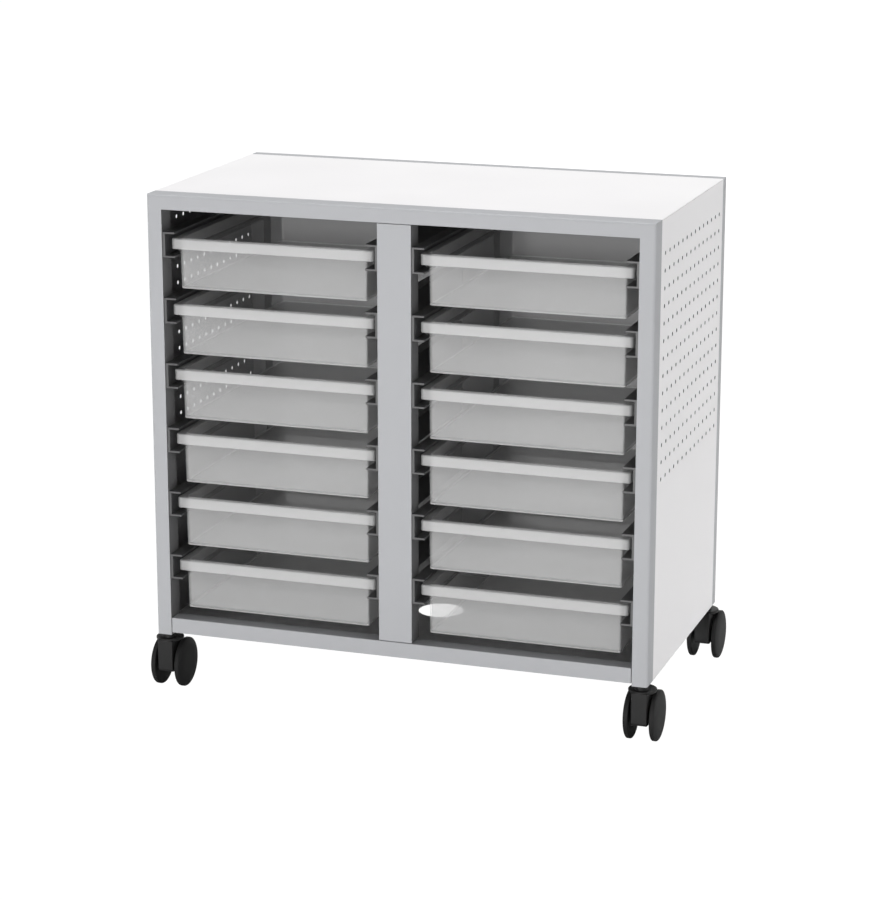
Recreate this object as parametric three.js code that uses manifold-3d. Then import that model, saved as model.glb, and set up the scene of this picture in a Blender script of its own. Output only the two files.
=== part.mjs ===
// Classroom tray storage unit: a mobile steel cabinet with two bays of sliding trays.
// Millimetres, +Z up, front towards -Y. The origin is on the floor, under the middle of the whole unit.
import * as THREE from "three";
import { mergeVertices } from "three/addons/utils/BufferGeometryUtils.js";
import Module from "manifold-3d";

const wasm = await Module();
wasm.setup();

// Carcase
const CABINET_WIDTH = 760;
const CABINET_DEPTH = 420;
const CARCASE_HEIGHT = 669;
const SHEET = 1.5; // thickness of every steel sheet

// Frame tubes
const UPRIGHT_WIDTH = 23;
const FRAME_DEPTH = 32;
const REAR_FRAME_DEPTH = 30;
const TOP_RAIL_HEIGHT = 21.7;
const TUBE_WALL = 2;
const CORNER_RADIUS = 4; // rounding of the frame's front vertical edges
const POST_WIDTH = 51;
const BOTTOM_RAIL_HEIGHT = 23.2;
const BOTTOM_RAIL_DEPTH = 25;
const BOTTOM_RAIL_LIFT = 4; // bottom rail above the uprights' feet

// Panels
const BACK_FLANGE = 19; // folded edge of the back panel
const FLOOR_DROP = 15; // floor panel below the bottom rail's top
const FLOOR_FLANGE = 10;
const FLOOR_HOLE_DIAMETER = 70;

// Perforated field of the side panels
const HOLE_DIAMETER = 6;
const HOLE_PITCH = 25;
const HOLE_FIELD_TOP = 50; // highest row of holes below the carcase top
const HOLE_FIELD_HEIGHT = 325;
const HOLE_EDGE_MARGIN = 18; // least distance from a panel's upright edge to a hole's middle

// Trays
const TRAY_ROWS = 6;
const TRAY_SETBACK = 11; // rim's front behind the frame's front
const TRAY_REAR_GAP = 1;
const TRAY_WALL = 2.2;
const TRAY_DRAFT = 1; // each wall leans in by this much from top to bottom
const TRAY_CORNER = 5;
const RIM_SIDE_REACH = 11;
const RIM_END_REACH = 6;
const RIM_HEIGHT = 16;
const RIM_ROUND = 3.5; // easing of the rim's upper outer edge
const TRAY_GAP = 22.5; // from a tray's underside to the rim below it
const TOP_ROW_GAP = 43.1; // from the top rail's underside down to the highest rim
const BOTTOM_ROW_GAP = 29; // from the floor panel up to the lowest tray
const GLIDE_SETBACK = 25; // glide rib behind the rim's front, and before its rear

// Runners
const RUNNER_HEIGHT = 38;
const RUNNER_WEB = 4;
const RUNNER_FLANGE = 3;
const RUNNER_WIDTH = 19;
const RUNNER_ABOVE_RIM = 10.4;
const RUNNER_SETBACK = 2;
const RIM_SIDE_GAP = 5.75; // between a rim's edge and the runner's web

// Casters
const WHEEL_DIAMETER = 75;
const WHEEL_WIDTH = 10;
const TREAD_WIDTH = 5.5; // straight part of the wheel's edge, before the domed outer face
const DOME_REACH = 20; // from the wheel's edge in to the flat middle of its outer face
const WHEEL_STANDOFF = 3.5; // from the hood's flank to the wheel's inner face
const HUB_DIAMETER = 16;
const HOOD_WIDTH = 24;
const HOOD_CLEARANCE = 29; // hood's lower edge above the floor
const HOOD_BEND = 6; // rounding of the hood's lower front edge
const HOOD_INSET = 4.5; // hood's round back inside the wheels' edge
const CAP_DIAMETER = 42; // round cap that closes the hood's top and reaches over the wheels
const CAP_THICKNESS = 4.5;
const CAP_DROP = 7.5; // cap's top below the frame's foot
const CAP_SETBACK = 4; // cap's middle behind the stem
const CASTER_TRAIL = 17; // axle behind the stem
const NECK_DIAMETER = 20; // between the cap and the frame's foot
const WHEEL_HEADROOM = 14; // from the wheels' tops to the uprights' feet
const STEM_DIAMETER = 11;
const STEM_LENGTH = 36;
const SOCKET_HEIGHT = 45;
const AXLE_DIAMETER = 6;
const AXLE_COVER = 3; // wheel's outer wall over the end of the axle
const FIT_GAP = 0.3; // clearance between pieces that turn or slide on each other

// Fineness of round forms, and of the joins between solids
const HOLE_SIDES = 4;
const WHEEL_SIDES = 16; // even, so that a flat lies on the floor
const DOME_STEPS = 2;
const BORE_SIDES = 12;
const CAP_SIDES = 20;
const NECK_SIDES = 12;
const STEM_SIDES = 10;
const AXLE_SIDES = 8;
const EDGE_STEPS = 3;
const TRAY_CORNER_STEPS = 1;
const HOOD_STEPS = 4;
const FLOOR_HOLE_STEPS = 10;
const OVERCUT = 1; // how far a cut runs past the face it opens
const MERGE_DISTANCE = 1e-4;

// Worked-out places. Y counts back from the frame's front face, Z up from the floor.
const halfWidth = CABINET_WIDTH / 2;
const wheelRadius = WHEEL_DIAMETER / 2;
const wheelX = HOOD_WIDTH / 2 + WHEEL_STANDOFF; // wheel's inner face from the caster's middle
const footZ = WHEEL_DIAMETER + WHEEL_HEADROOM;
const topZ = footZ + CARCASE_HEIGHT;
const underTopZ = topZ - SHEET; // underside of the top panel
const railUnderZ = topZ - TOP_RAIL_HEIGHT;
const bottomRailZ = footZ + BOTTOM_RAIL_LIFT;
const bottomRailTopZ = bottomRailZ + BOTTOM_RAIL_HEIGHT;
const floorZ = bottomRailTopZ - FLOOR_DROP;
const backY = CABINET_DEPTH - SHEET; // front face of the back panel
const rearFrameY = backY - REAR_FRAME_DEPTH;
const innerX = halfWidth - UPRIGHT_WIDTH;
const panelX = halfWidth - SHEET;
const postX = POST_WIDTH / 2;
const bayX = (innerX + postX) / 2;
const bayWidth = innerX - postX;
const rimHalfWidth = bayWidth / 2 - RUNNER_WEB - RIM_SIDE_GAP;
const topRimZ = railUnderZ - TOP_ROW_GAP;
const rowPitch = (topRimZ - floorZ - BOTTOM_ROW_GAP + TRAY_GAP) / TRAY_ROWS;
const trayHeight = rowPitch - TRAY_GAP;
const trayLength = backY - TRAY_SETBACK - TRAY_REAR_GAP;
const glideDrop = RUNNER_HEIGHT - RUNNER_ABOVE_RIM - RUNNER_FLANGE - FIT_GAP;
const casters = {
  front: { y: FRAME_DEPTH / 2, x: halfWidth - UPRIGHT_WIDTH / 2 },
  rear: { y: rearFrameY + REAR_FRAME_DEPTH / 2, x: (panelX + innerX) / 2 },
};
const frontY = Math.min(0, casters.front.y + CASTER_TRAIL - wheelRadius);
const rearY = casters.rear.y + CASTER_TRAIL + wheelRadius;

// Finishes
const finish = (color, roughness, metalness) => () =>
  new THREE.MeshStandardMaterial({ color, roughness, metalness });
const silverPaint = finish(0xbcbdc0, 0.45, 0.2);
const whitePaint = finish(0xf0eff0, 0.5, 0);
const greyPaint = finish(0x5c5c5e, 0.55, 0);
const runnerPlastic = finish(0x6a6a6c, 0.5, 0);
const frostedPlastic = finish(0xd2d3d4, 0.35, 0);
const hoodPlastic = finish(0x3c3c3c, 0.5, 0);
const treadRubber = finish(0x252525, 0.7, 0);

// Solids: closed geometry in, closed geometry out.
function toSolid(geometry) {
  const bare = geometry.clone();
  bare.deleteAttribute("normal");
  bare.deleteAttribute("uv");
  const merged = mergeVertices(bare, MERGE_DISTANCE);
  return new wasm.Manifold(
    new wasm.Mesh({
      numProp: 3,
      vertProperties: merged.attributes.position.array,
      triVerts: new Uint32Array(merged.index.array),
    }),
  );
}

function toGeometry(solid) {
  const mesh = solid.getMesh();
  const geometry = new THREE.BufferGeometry();
  geometry.setAttribute("position", new THREE.BufferAttribute(mesh.vertProperties, 3));
  geometry.setIndex(new THREE.BufferAttribute(mesh.triVerts, 1));
  return geometry;
}

const join = (first, ...others) =>
  toGeometry(others.reduce((solid, other) => solid.add(toSolid(other)), toSolid(first)));
const cut = (first, ...others) =>
  toGeometry(others.reduce((solid, other) => solid.subtract(toSolid(other)), toSolid(first)));
const common = (first, second) => toGeometry(toSolid(first).intersect(toSolid(second)));

// A box between two corners.
function block([x0, y0, z0], [x1, y1, z1]) {
  const box = new THREE.BoxGeometry(x1 - x0, y1 - y0, z1 - z0);
  return box.translate((x0 + x1) / 2, (y0 + y1) / 2, (z0 + z1) / 2);
}

const outline = (points) => new THREE.Shape(points.map(([x, y]) => new THREE.Vector2(x, y)));
const rectangle = (x0, y0, x1, y1) => [
  [x0, y0],
  [x1, y0],
  [x1, y1],
  [x0, y1],
];

// Extrusions of an outline drawn in YZ, XZ and XY.
function extrude(shape, length, steps = EDGE_STEPS) {
  return new THREE.ExtrudeGeometry(shape, { depth: length, bevelEnabled: false, curveSegments: steps });
}

const axisX = new THREE.Vector3(1, 0, 0);
const axisY = new THREE.Vector3(0, 1, 0);
const axisZ = new THREE.Vector3(0, 0, 1);

function alongX(shape, x0, x1, steps) {
  const turn = new THREE.Matrix4().makeBasis(axisY, axisZ, axisX);
  return extrude(shape, x1 - x0, steps).applyMatrix4(turn).translate(x0, 0, 0);
}

function alongY(shape, y0, y1, steps) {
  const turn = new THREE.Matrix4().makeBasis(axisX, axisZ, axisY.clone().negate());
  return extrude(shape, y1 - y0, steps).applyMatrix4(turn).translate(0, y1, 0);
}

function alongZ(shape, z0, z1, steps) {
  return extrude(shape, z1 - z0, steps).translate(0, 0, z0);
}

// An upright round bar.
function roundBar(diameter, z0, z1, sides) {
  const bar = new THREE.CylinderGeometry(diameter / 2, diameter / 2, z1 - z0, sides);
  return bar.rotateX(Math.PI / 2).translate(0, 0, (z0 + z1) / 2);
}

// A closed skin through rings of equally many points, with both end rings filled.
function loft(rings) {
  const count = rings[0].length;
  const positions = rings.flat(2);
  const triangles = [];
  for (let r = 0; r + 1 < rings.length; r++) {
    for (let i = 0; i < count; i++) {
      const j = (i + 1) % count;
      const [a, b, c, d] = [r * count + i, r * count + j, (r + 1) * count + j, (r + 1) * count + i];
      triangles.push(a, c, b, a, d, c);
    }
  }
  const last = (rings.length - 1) * count;
  for (let i = 1; i + 1 < count; i++) {
    triangles.push(0, i, i + 1);
    triangles.push(last, last + i + 1, last + i);
  }
  const geometry = new THREE.BufferGeometry();
  geometry.setAttribute("position", new THREE.Float32BufferAttribute(positions, 3));
  geometry.setIndex(triangles);
  return geometry;
}

// A rounded rectangle at one height, as a ring of points that runs anticlockwise seen from above.
function roundedRing(halfX, y0, y1, radius, z, steps) {
  const corners = [
    [halfX - radius, y0 + radius, -90],
    [halfX - radius, y1 - radius, 0],
    [radius - halfX, y1 - radius, 90],
    [radius - halfX, y0 + radius, 180],
  ];
  return corners.flatMap(([x, y, start]) =>
    Array.from({ length: steps + 1 }, (_, i) => {
      const angle = THREE.MathUtils.degToRad(start + (90 * i) / steps);
      return [x + radius * Math.cos(angle), y + radius * Math.sin(angle), z];
    }),
  );
}

// Frame: an inverted U of tube, open inside from foot to foot, with a socket in each foot.
function tubeArch({ halfX, y0, y1, archZ, socketX, socketY, roundFront }) {
  const arch = (inset) =>
    outline([
      [-halfX + inset, footZ],
      [-innerX - inset, footZ],
      [-innerX - inset, railUnderZ + inset],
      [innerX + inset, railUnderZ + inset],
      [innerX + inset, footZ],
      [halfX - inset, footZ],
      [halfX - inset, archZ - inset],
      [-halfX + inset, archZ - inset],
    ]);
  let skin = alongY(arch(0), y0, y1);
  if (roundFront) skin = common(skin, alongZ(roundedPlan(halfX, y0, y1), footZ, archZ));
  const hollow = cut(
    alongY(arch(TUBE_WALL), y0 + TUBE_WALL, y1 - TUBE_WALL),
    block([-halfX, y0, footZ], [halfX, y1, footZ + SOCKET_HEIGHT]),
  );
  const boreDiameter = STEM_DIAMETER + 2 * FIT_GAP;
  const bore = roundBar(boreDiameter, footZ - OVERCUT, footZ + SOCKET_HEIGHT + OVERCUT, BORE_SIDES);
  const bores = [-socketX, socketX].map((x) => bore.clone().translate(x, socketY, 0));
  return cut(skin, hollow, ...bores);
}

// Plan of the front frame, with its two front edges rounded.
function roundedPlan(halfX, y0, y1) {
  const plan = new THREE.Shape();
  plan.moveTo(-halfX + CORNER_RADIUS, y0);
  plan.lineTo(halfX - CORNER_RADIUS, y0);
  plan.absarc(halfX - CORNER_RADIUS, y0 + CORNER_RADIUS, CORNER_RADIUS, -Math.PI / 2, 0);
  plan.lineTo(halfX, y1);
  plan.lineTo(-halfX, y1);
  plan.lineTo(-halfX, y0 + CORNER_RADIUS);
  plan.absarc(-halfX + CORNER_RADIUS, y0 + CORNER_RADIUS, CORNER_RADIUS, Math.PI, 1.5 * Math.PI);
  return plan;
}

function frontFrame() {
  const { x, y } = casters.front;
  return tubeArch({
    halfX: halfWidth,
    y0: 0,
    y1: FRAME_DEPTH,
    archZ: topZ,
    socketX: x,
    socketY: y,
    roundFront: true,
  });
}

// The rear frame stands inside the back panel's folds and under the top panel.
function rearFrame() {
  const { x, y } = casters.rear;
  return tubeArch({
    halfX: panelX,
    y0: rearFrameY,
    y1: backY,
    archZ: underTopZ,
    socketX: x,
    socketY: y,
    roundFront: false,
  });
}

// A rectangular tube's section, as an outline with its bore.
function tubeSection(x0, y0, x1, y1) {
  const section = outline(rectangle(x0, y0, x1, y1));
  section.holes.push(
    outline(rectangle(x0 + TUBE_WALL, y0 + TUBE_WALL, x1 - TUBE_WALL, y1 - TUBE_WALL)),
  );
  return section;
}

const centrePost = (y0, y1) => alongZ(tubeSection(-postX, y0, postX, y1), bottomRailTopZ, railUnderZ);
const bottomRail = (y0, y1) =>
  alongX(tubeSection(y0, bottomRailZ, y1, bottomRailTopZ), -innerX, innerX);

// Top panel: a sheet that lies level with the front frame, over the side panels and the rear frame.
function topPanel() {
  return block([-halfWidth, FRAME_DEPTH, underTopZ], [halfWidth, CABINET_DEPTH - BACK_FLANGE, topZ]);
}

function roundHole(x, y) {
  const corners = Array.from({ length: HOLE_SIDES }, (_, i) => {
    const angle = (2 * Math.PI * i) / HOLE_SIDES;
    return [x + (HOLE_DIAMETER / 2) * Math.cos(angle), y + (HOLE_DIAMETER / 2) * Math.sin(angle)];
  });
  return outline(corners);
}

// A side panel in YZ, with its field of holes centred between the upright edges.
function sidePanel(side) {
  const y0 = FRAME_DEPTH;
  const y1 = CABINET_DEPTH - BACK_FLANGE;
  const sheet = outline(rectangle(y0, footZ, y1, underTopZ));
  const columns = Math.floor((y1 - y0 - 2 * HOLE_EDGE_MARGIN) / HOLE_PITCH) + 1;
  const firstY = (y0 + y1 - (columns - 1) * HOLE_PITCH) / 2;
  const rows = Math.floor(HOLE_FIELD_HEIGHT / HOLE_PITCH) + 1;
  for (let row = 0; row < rows; row++) {
    const z = topZ - HOLE_FIELD_TOP - row * HOLE_PITCH;
    for (let column = 0; column < columns; column++) {
      sheet.holes.push(roundHole(firstY + column * HOLE_PITCH, z));
    }
  }
  return side < 0 ? alongX(sheet, -halfWidth, -panelX) : alongX(sheet, panelX, halfWidth);
}

// Back panel: a sheet folded forwards along its top and sides.
function backPanel() {
  const y0 = CABINET_DEPTH - BACK_FLANGE;
  const outer = block([-halfWidth, y0, footZ], [halfWidth, CABINET_DEPTH, topZ]);
  const inner = block([-panelX, y0 - OVERCUT, footZ - OVERCUT], [panelX, backY, underTopZ]);
  return cut(outer, inner);
}

// Floor panel: a sheet folded down at its front and rear edges, notched round the uprights.
function floorPanel() {
  const y0 = BOTTOM_RAIL_DEPTH;
  const y1 = backY - BOTTOM_RAIL_DEPTH;
  const plan = outline([
    [-innerX, y0],
    [innerX, y0],
    [innerX, FRAME_DEPTH],
    [panelX, FRAME_DEPTH],
    [panelX, rearFrameY],
    [innerX, rearFrameY],
    [innerX, y1],
    [-innerX, y1],
    [-innerX, rearFrameY],
    [-panelX, rearFrameY],
    [-panelX, FRAME_DEPTH],
    [-innerX, FRAME_DEPTH],
  ]);
  const hole = new THREE.Path();
  hole.absarc(0, CABINET_DEPTH / 2, FLOOR_HOLE_DIAMETER / 2, 0, 2 * Math.PI, true);
  plan.holes.push(hole);
  const sheet = alongZ(plan, floorZ - SHEET, floorZ, FLOOR_HOLE_STEPS);
  const fold = (y) => block([-innerX, y, floorZ - FLOOR_FLANGE], [innerX, y + SHEET, floorZ - SHEET / 2]);
  return join(sheet, fold(y0), fold(y1 - SHEET));
}

// A runner: a channel along Y that opens towards the tray, on an upright's face at faceX.
function runner(faceX, towards, rimZ) {
  const topEdge = rimZ + RUNNER_ABOVE_RIM;
  const bottomEdge = topEdge - RUNNER_HEIGHT;
  const webX = faceX + towards * RUNNER_WEB;
  const tipX = faceX + towards * RUNNER_WIDTH;
  const channel = outline([
    [faceX, bottomEdge],
    [tipX, bottomEdge],
    [tipX, bottomEdge + RUNNER_FLANGE],
    [webX, bottomEdge + RUNNER_FLANGE],
    [webX, topEdge - RUNNER_FLANGE],
    [tipX, topEdge - RUNNER_FLANGE],
    [tipX, topEdge],
    [faceX, topEdge],
  ]);
  return alongY(channel, RUNNER_SETBACK, backY);
}

// A tray, with its rim's front at Y 0 and its rim's top at Z 0: one skin from the inside of its floor,
// up the walls, over the rim and back down the outside.
function tray(length) {
  const ring = (side, end, z) => {
    const radius = Math.max(TRAY_CORNER - end, TRAY_CORNER / 2);
    return roundedRing(rimHalfWidth - side, end, length - end, radius, z, TRAY_CORNER_STEPS);
  };
  const body = (inset, z) => ring(RIM_SIDE_REACH + inset, RIM_END_REACH + inset, z);
  const shell = loft([
    body(TRAY_WALL + TRAY_DRAFT, TRAY_WALL - trayHeight),
    body(TRAY_WALL, 0),
    ring(RIM_ROUND, RIM_ROUND, 0),
    ring(0, 0, -RIM_ROUND),
    ring(0, 0, -RIM_HEIGHT),
    ring(TRAY_WALL, TRAY_WALL, -RIM_HEIGHT),
    ring(TRAY_WALL, TRAY_WALL, -TRAY_WALL),
    body(0, -TRAY_WALL),
    body(TRAY_DRAFT, -trayHeight),
  ]);
  const glides = [-rimHalfWidth, rimHalfWidth - TRAY_WALL].map((x) =>
    block(
      [x, GLIDE_SETBACK, -glideDrop],
      [x + TRAY_WALL, length - GLIDE_SETBACK, TRAY_WALL - RIM_HEIGHT],
    ),
  );
  return join(shell, ...glides);
}

// A caster's hood with its cap, neck, stem and axle. The stem is at X 0, Y 0, and the axle behind it.
function casterHood() {
  const front = CAP_SETBACK - CAP_DIAMETER / 2;
  const capTop = footZ - CAP_DROP;
  const capMiddle = capTop - CAP_THICKNESS / 2;
  const neckTop = footZ - FIT_GAP;
  const coverRadius = wheelRadius - HOOD_INSET;
  const side = new THREE.Shape();
  side.moveTo(front, capMiddle);
  side.lineTo(front, HOOD_CLEARANCE + HOOD_BEND);
  side.quadraticCurveTo(front, HOOD_CLEARANCE, front + HOOD_BEND, HOOD_CLEARANCE);
  side.lineTo(CASTER_TRAIL, HOOD_CLEARANCE);
  side.lineTo(CASTER_TRAIL + coverRadius, wheelRadius);
  side.absarc(CASTER_TRAIL, wheelRadius, coverRadius, 0, Math.PI / 2);
  side.lineTo(CASTER_TRAIL, capMiddle);
  const hood = alongX(side, -HOOD_WIDTH / 2, HOOD_WIDTH / 2, HOOD_STEPS);
  const cap = roundBar(CAP_DIAMETER, capTop - CAP_THICKNESS, capTop, CAP_SIDES).translate(0, CAP_SETBACK, 0);
  const neck = roundBar(NECK_DIAMETER, capMiddle, neckTop, NECK_SIDES);
  const stem = roundBar(STEM_DIAMETER, capMiddle, footZ + STEM_LENGTH, STEM_SIDES);
  const axleReach = wheelX + WHEEL_WIDTH - AXLE_COVER;
  const axle = roundBar(AXLE_DIAMETER, -axleReach, axleReach, AXLE_SIDES)
    .rotateY(Math.PI / 2)
    .translate(0, CASTER_TRAIL, wheelRadius);
  return join(hood, cap, neck, stem, axle);
}

// A wheel about X, from its inner face at X 0 to its closed, domed outer face. Its hub reaches back to
// the hood's flank.
function casterWheel() {
  const rim = wheelRadius / Math.cos(Math.PI / WHEEL_SIDES); // flats, not corners, at the full radius
  const bore = AXLE_DIAMETER / 2 + FIT_GAP;
  const hub = HUB_DIAMETER / 2;
  const hubX = FIT_GAP - WHEEL_STANDOFF;
  const dome = Array.from({ length: DOME_STEPS }, (_, i) => {
    const angle = ((i + 1) * Math.PI) / 2 / DOME_STEPS;
    return [
      rim - DOME_REACH * (1 - Math.cos(angle)),
      TREAD_WIDTH + (WHEEL_WIDTH - TREAD_WIDTH) * Math.sin(angle),
    ];
  });
  const profile = [
    [0, WHEEL_WIDTH - AXLE_COVER],
    [bore, WHEEL_WIDTH - AXLE_COVER],
    [bore, hubX],
    [hub, hubX],
    [hub, 0],
    [rim, 0],
    [rim, TREAD_WIDTH],
    ...dome,
    [0, WHEEL_WIDTH],
  ].map(([r, x]) => new THREE.Vector2(r, x));
  const turned = new THREE.LatheGeometry(profile, WHEEL_SIDES);
  return turned.rotateY(Math.PI / WHEEL_SIDES).rotateZ(-Math.PI / 2);
}

// The unit
const unit = new THREE.Group();
const cabinet = new THREE.Group();
cabinet.position.y = -(frontY + rearY) / 2;
unit.add(cabinet);

function add(parent, name, geometry, material) {
  const mesh = new THREE.Mesh(geometry, material());
  mesh.name = name;
  parent.add(mesh);
  return mesh;
}

add(cabinet, "front_frame", frontFrame(), silverPaint);
add(cabinet, "rear_frame", rearFrame(), greyPaint);
add(cabinet, "front_centre_post", centrePost(0, FRAME_DEPTH), silverPaint);
add(cabinet, "rear_centre_post", centrePost(rearFrameY, backY), greyPaint);
add(cabinet, "front_bottom_rail", bottomRail(0, BOTTOM_RAIL_DEPTH), silverPaint);
add(cabinet, "rear_bottom_rail", bottomRail(backY - BOTTOM_RAIL_DEPTH, backY), greyPaint);
add(cabinet, "top_panel", topPanel(), whitePaint);
add(cabinet, "left_side_panel", sidePanel(-1), whitePaint);
add(cabinet, "right_side_panel", sidePanel(1), whitePaint);
add(cabinet, "back_panel", backPanel(), greyPaint);
add(cabinet, "floor_panel", floorPanel(), greyPaint);

for (let row = 1; row <= TRAY_ROWS; row++) {
  const rimZ = topRimZ - (row - 1) * rowPitch;
  for (const [bay, side] of [
    ["left", -1],
    ["right", 1],
  ]) {
    add(cabinet, `${bay}_outer_runner_${row}`, runner(side * innerX, -side, rimZ), runnerPlastic);
    add(cabinet, `${bay}_inner_runner_${row}`, runner(side * postX, side, rimZ), runnerPlastic);
    const tub = add(cabinet, `${bay}_tray_${row}`, tray(trayLength), frostedPlastic);
    tub.position.set(side * bayX, TRAY_SETBACK, rimZ);
  }
}

for (const [end, place] of Object.entries(casters)) {
  for (const [hand, side] of [
    ["left", -1],
    ["right", 1],
  ]) {
    const caster = new THREE.Group();
    caster.position.set(side * place.x, place.y, 0);
    cabinet.add(caster);
    const name = `${end}_${hand}_caster`;
    add(caster, `${name}_hood`, casterHood(), hoodPlastic);
    for (const [edge, way] of [
      ["outer", side],
      ["inner", -side],
    ]) {
      const wheel = add(caster, `${name}_${edge}_wheel`, casterWheel(), treadRubber);
      wheel.position.set(way * wheelX, CASTER_TRAIL, wheelRadius);
      if (way < 0) wheel.rotation.z = Math.PI;
    }
  }
}

export default unit;
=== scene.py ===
import math

import bmesh
import bpy
from mathutils import Matrix, Vector


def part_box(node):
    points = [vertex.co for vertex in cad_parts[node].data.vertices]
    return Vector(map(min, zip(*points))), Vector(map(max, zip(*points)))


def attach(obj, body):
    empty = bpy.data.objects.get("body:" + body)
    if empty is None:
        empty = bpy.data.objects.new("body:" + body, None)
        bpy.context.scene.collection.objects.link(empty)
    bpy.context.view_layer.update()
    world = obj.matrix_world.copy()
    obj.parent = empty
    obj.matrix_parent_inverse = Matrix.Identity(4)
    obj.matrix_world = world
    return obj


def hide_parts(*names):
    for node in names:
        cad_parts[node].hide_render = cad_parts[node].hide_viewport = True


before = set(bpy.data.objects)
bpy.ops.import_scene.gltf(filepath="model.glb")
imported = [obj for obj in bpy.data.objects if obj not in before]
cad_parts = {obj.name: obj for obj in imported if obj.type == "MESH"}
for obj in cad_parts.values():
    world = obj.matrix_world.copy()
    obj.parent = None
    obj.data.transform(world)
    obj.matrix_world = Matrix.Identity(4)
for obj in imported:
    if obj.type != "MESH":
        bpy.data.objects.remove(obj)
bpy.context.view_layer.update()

# The finish of a classroom tray storage unit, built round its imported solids. Metres, front towards -Y.

HANDS = {"left": -1, "right": 1}
ENDS = ("front", "rear")
EDGES = ("outer", "inner")
ROWS = range(1, 7)

# Sheet and tube
PERFORATED_SHEET = 0.0008
FRAME_CORNER = 0.004  # rounding of the front frame's outer upright edges
FRAME_EASE = 0.0002  # rounding of its other edges
TUBE_EASE = 0.0009  # rounding of posts and rails
NECK_LENGTH = 0.0012  # narrower end of a post or rail, which leaves a dark joint line
NECK_DEPTH = 0.004
SHEET_EASE = 0.0004
RUNNER_EASE = 0.0006
RUNNER_FLANGE = 0.003
UPRIGHT_WIDTH = 0.023
TOP_RAIL_HEIGHT = 0.0217

# Perforated field of the side panels
HOLE_DIAMETER = 0.006
HOLE_PITCH = 0.025
HOLE_COLUMNS = 14
HOLE_ROWS = 14
HOLE_FIELD_TOP = 0.050  # highest row of holes below the carcase top
HOLE_STEPS = 16

# Trays
TRAY_WALL = 0.0022
TRAY_DRAFT = 0.001
TRAY_CORNER = 0.005
TRAY_FLOOR_BEND = 0.0035  # inside rounding between floor and walls
TRAY_FOOT_BEND = 0.0018  # outside rounding between walls and underside
RIM_SIDE_REACH = 0.011
RIM_END_REACH = 0.006
RIM_HEIGHT = 0.016
RIM_ROUND = 0.0025
RIM_INNER_ROUND = 0.0012
RIM_ROOT_ROUND = 0.0012
LIP_ROUND = 0.0008
GLIDE_SETBACK = 0.025
TRAY_CORNER_STEPS = 8
BEND_STEPS = 5
LIP_STEPS = 3

# Casters
WHEEL_WIDTH = 0.010
TREAD_WIDTH = 0.0055
TREAD_EASE = 0.0016
DOME_REACH = 0.020
DOME_STEPS = 12
HUB_RADIUS = 0.008
WHEEL_STANDOFF = 0.0035
WHEEL_SEGMENTS = 72
HOOD_WIDTH = 0.024
HOOD_CLEARANCE = 0.029
HOOD_BEND = 0.006
HOOD_INSET = 0.0045
HOOD_EASE = 0.0016
HOOD_STEPS = 16
CAP_RADIUS = 0.021  # round cap that closes the hood's top and reaches over the wheels
CAP_THICKNESS = 0.0045
CAP_DROP = 0.0075  # cap's top below the frame's foot
CAP_SETBACK = 0.004  # cap's middle behind the stem
CAP_EASE = 0.0017
CASTER_TRAIL = 0.017
NECK_RADIUS = 0.010
STEM_RADIUS = 0.0055
STEM_LENGTH = 0.036
AXLE_RADIUS = 0.003
AXLE_COVER = 0.003
ROUND_SEGMENTS = 48
FIT_GAP = 0.0003

SMOOTH_BELOW = math.radians(35)  # edges flatter than this shade smooth


# Shader graphs


def add_node(tree, kind, **settings):
    node = tree.nodes.new(kind)
    for name, value in settings.items():
        setattr(node, name, value)
    return node


def feed(tree, node, **inputs):
    """Sets or links inputs by name. A socket is linked, anything else is set on the input itself."""
    for name, value in inputs.items():
        socket = node.inputs[name.replace("_", " ")]
        if isinstance(value, bpy.types.NodeSocket):
            tree.links.new(value, socket)
        else:
            socket.default_value = value
    return node


def math_node(tree, operation, first, second):
    node = add_node(tree, "ShaderNodeMath", operation=operation)
    for socket, value in zip(node.inputs, (first, second)):
        if isinstance(value, bpy.types.NodeSocket):
            tree.links.new(value, socket)
        else:
            socket.default_value = value
    return node.outputs[0]


def remap(tree, value, low, high, to_low, to_high):
    node = add_node(tree, "ShaderNodeMapRange", interpolation_type="SMOOTHSTEP")
    feed(tree, node, Value=value, From_Min=low, From_Max=high, To_Min=to_low, To_Max=to_high)
    return node.outputs["Result"]


def noise(tree, coords, scale, detail=2.0):
    node = add_node(tree, "ShaderNodeTexNoise")
    feed(tree, node, Vector=coords, Scale=scale, Detail=detail)
    return node.outputs["Fac"]


def tinted(tree, colour, factor):
    """A colour made lighter or darker by a factor that changes over the surface."""
    node = add_node(tree, "ShaderNodeVectorMath", operation="SCALE")
    tree.links.new(colour, node.inputs[0])
    tree.links.new(factor, node.inputs["Scale"])
    return node.outputs[0]


def blended(tree, mask, first, second):
    node = add_node(tree, "ShaderNodeMix", data_type="RGBA")
    tree.links.new(mask, node.inputs["Factor"])
    for socket, value in ((node.inputs[6], first), (node.inputs[7], second)):
        if isinstance(value, bpy.types.NodeSocket):
            tree.links.new(value, socket)
        else:
            socket.default_value = value
    return node.outputs[2]


def new_group(name, inputs, outputs):
    """An empty node group with its sockets, and its input and output nodes."""
    tree = bpy.data.node_groups.new(name, "ShaderNodeTree")
    for label, kind, value in inputs:
        tree.interface.new_socket(label, in_out="INPUT", socket_type=kind).default_value = value
    for label, kind in outputs:
        tree.interface.new_socket(label, in_out="OUTPUT", socket_type=kind)
    return tree, tree.nodes.new("NodeGroupInput"), tree.nodes.new("NodeGroupOutput")


def use_group(tree, group, **inputs):
    node = add_node(tree, "ShaderNodeGroup", node_tree=group)
    return feed(tree, node, **inputs)


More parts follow.
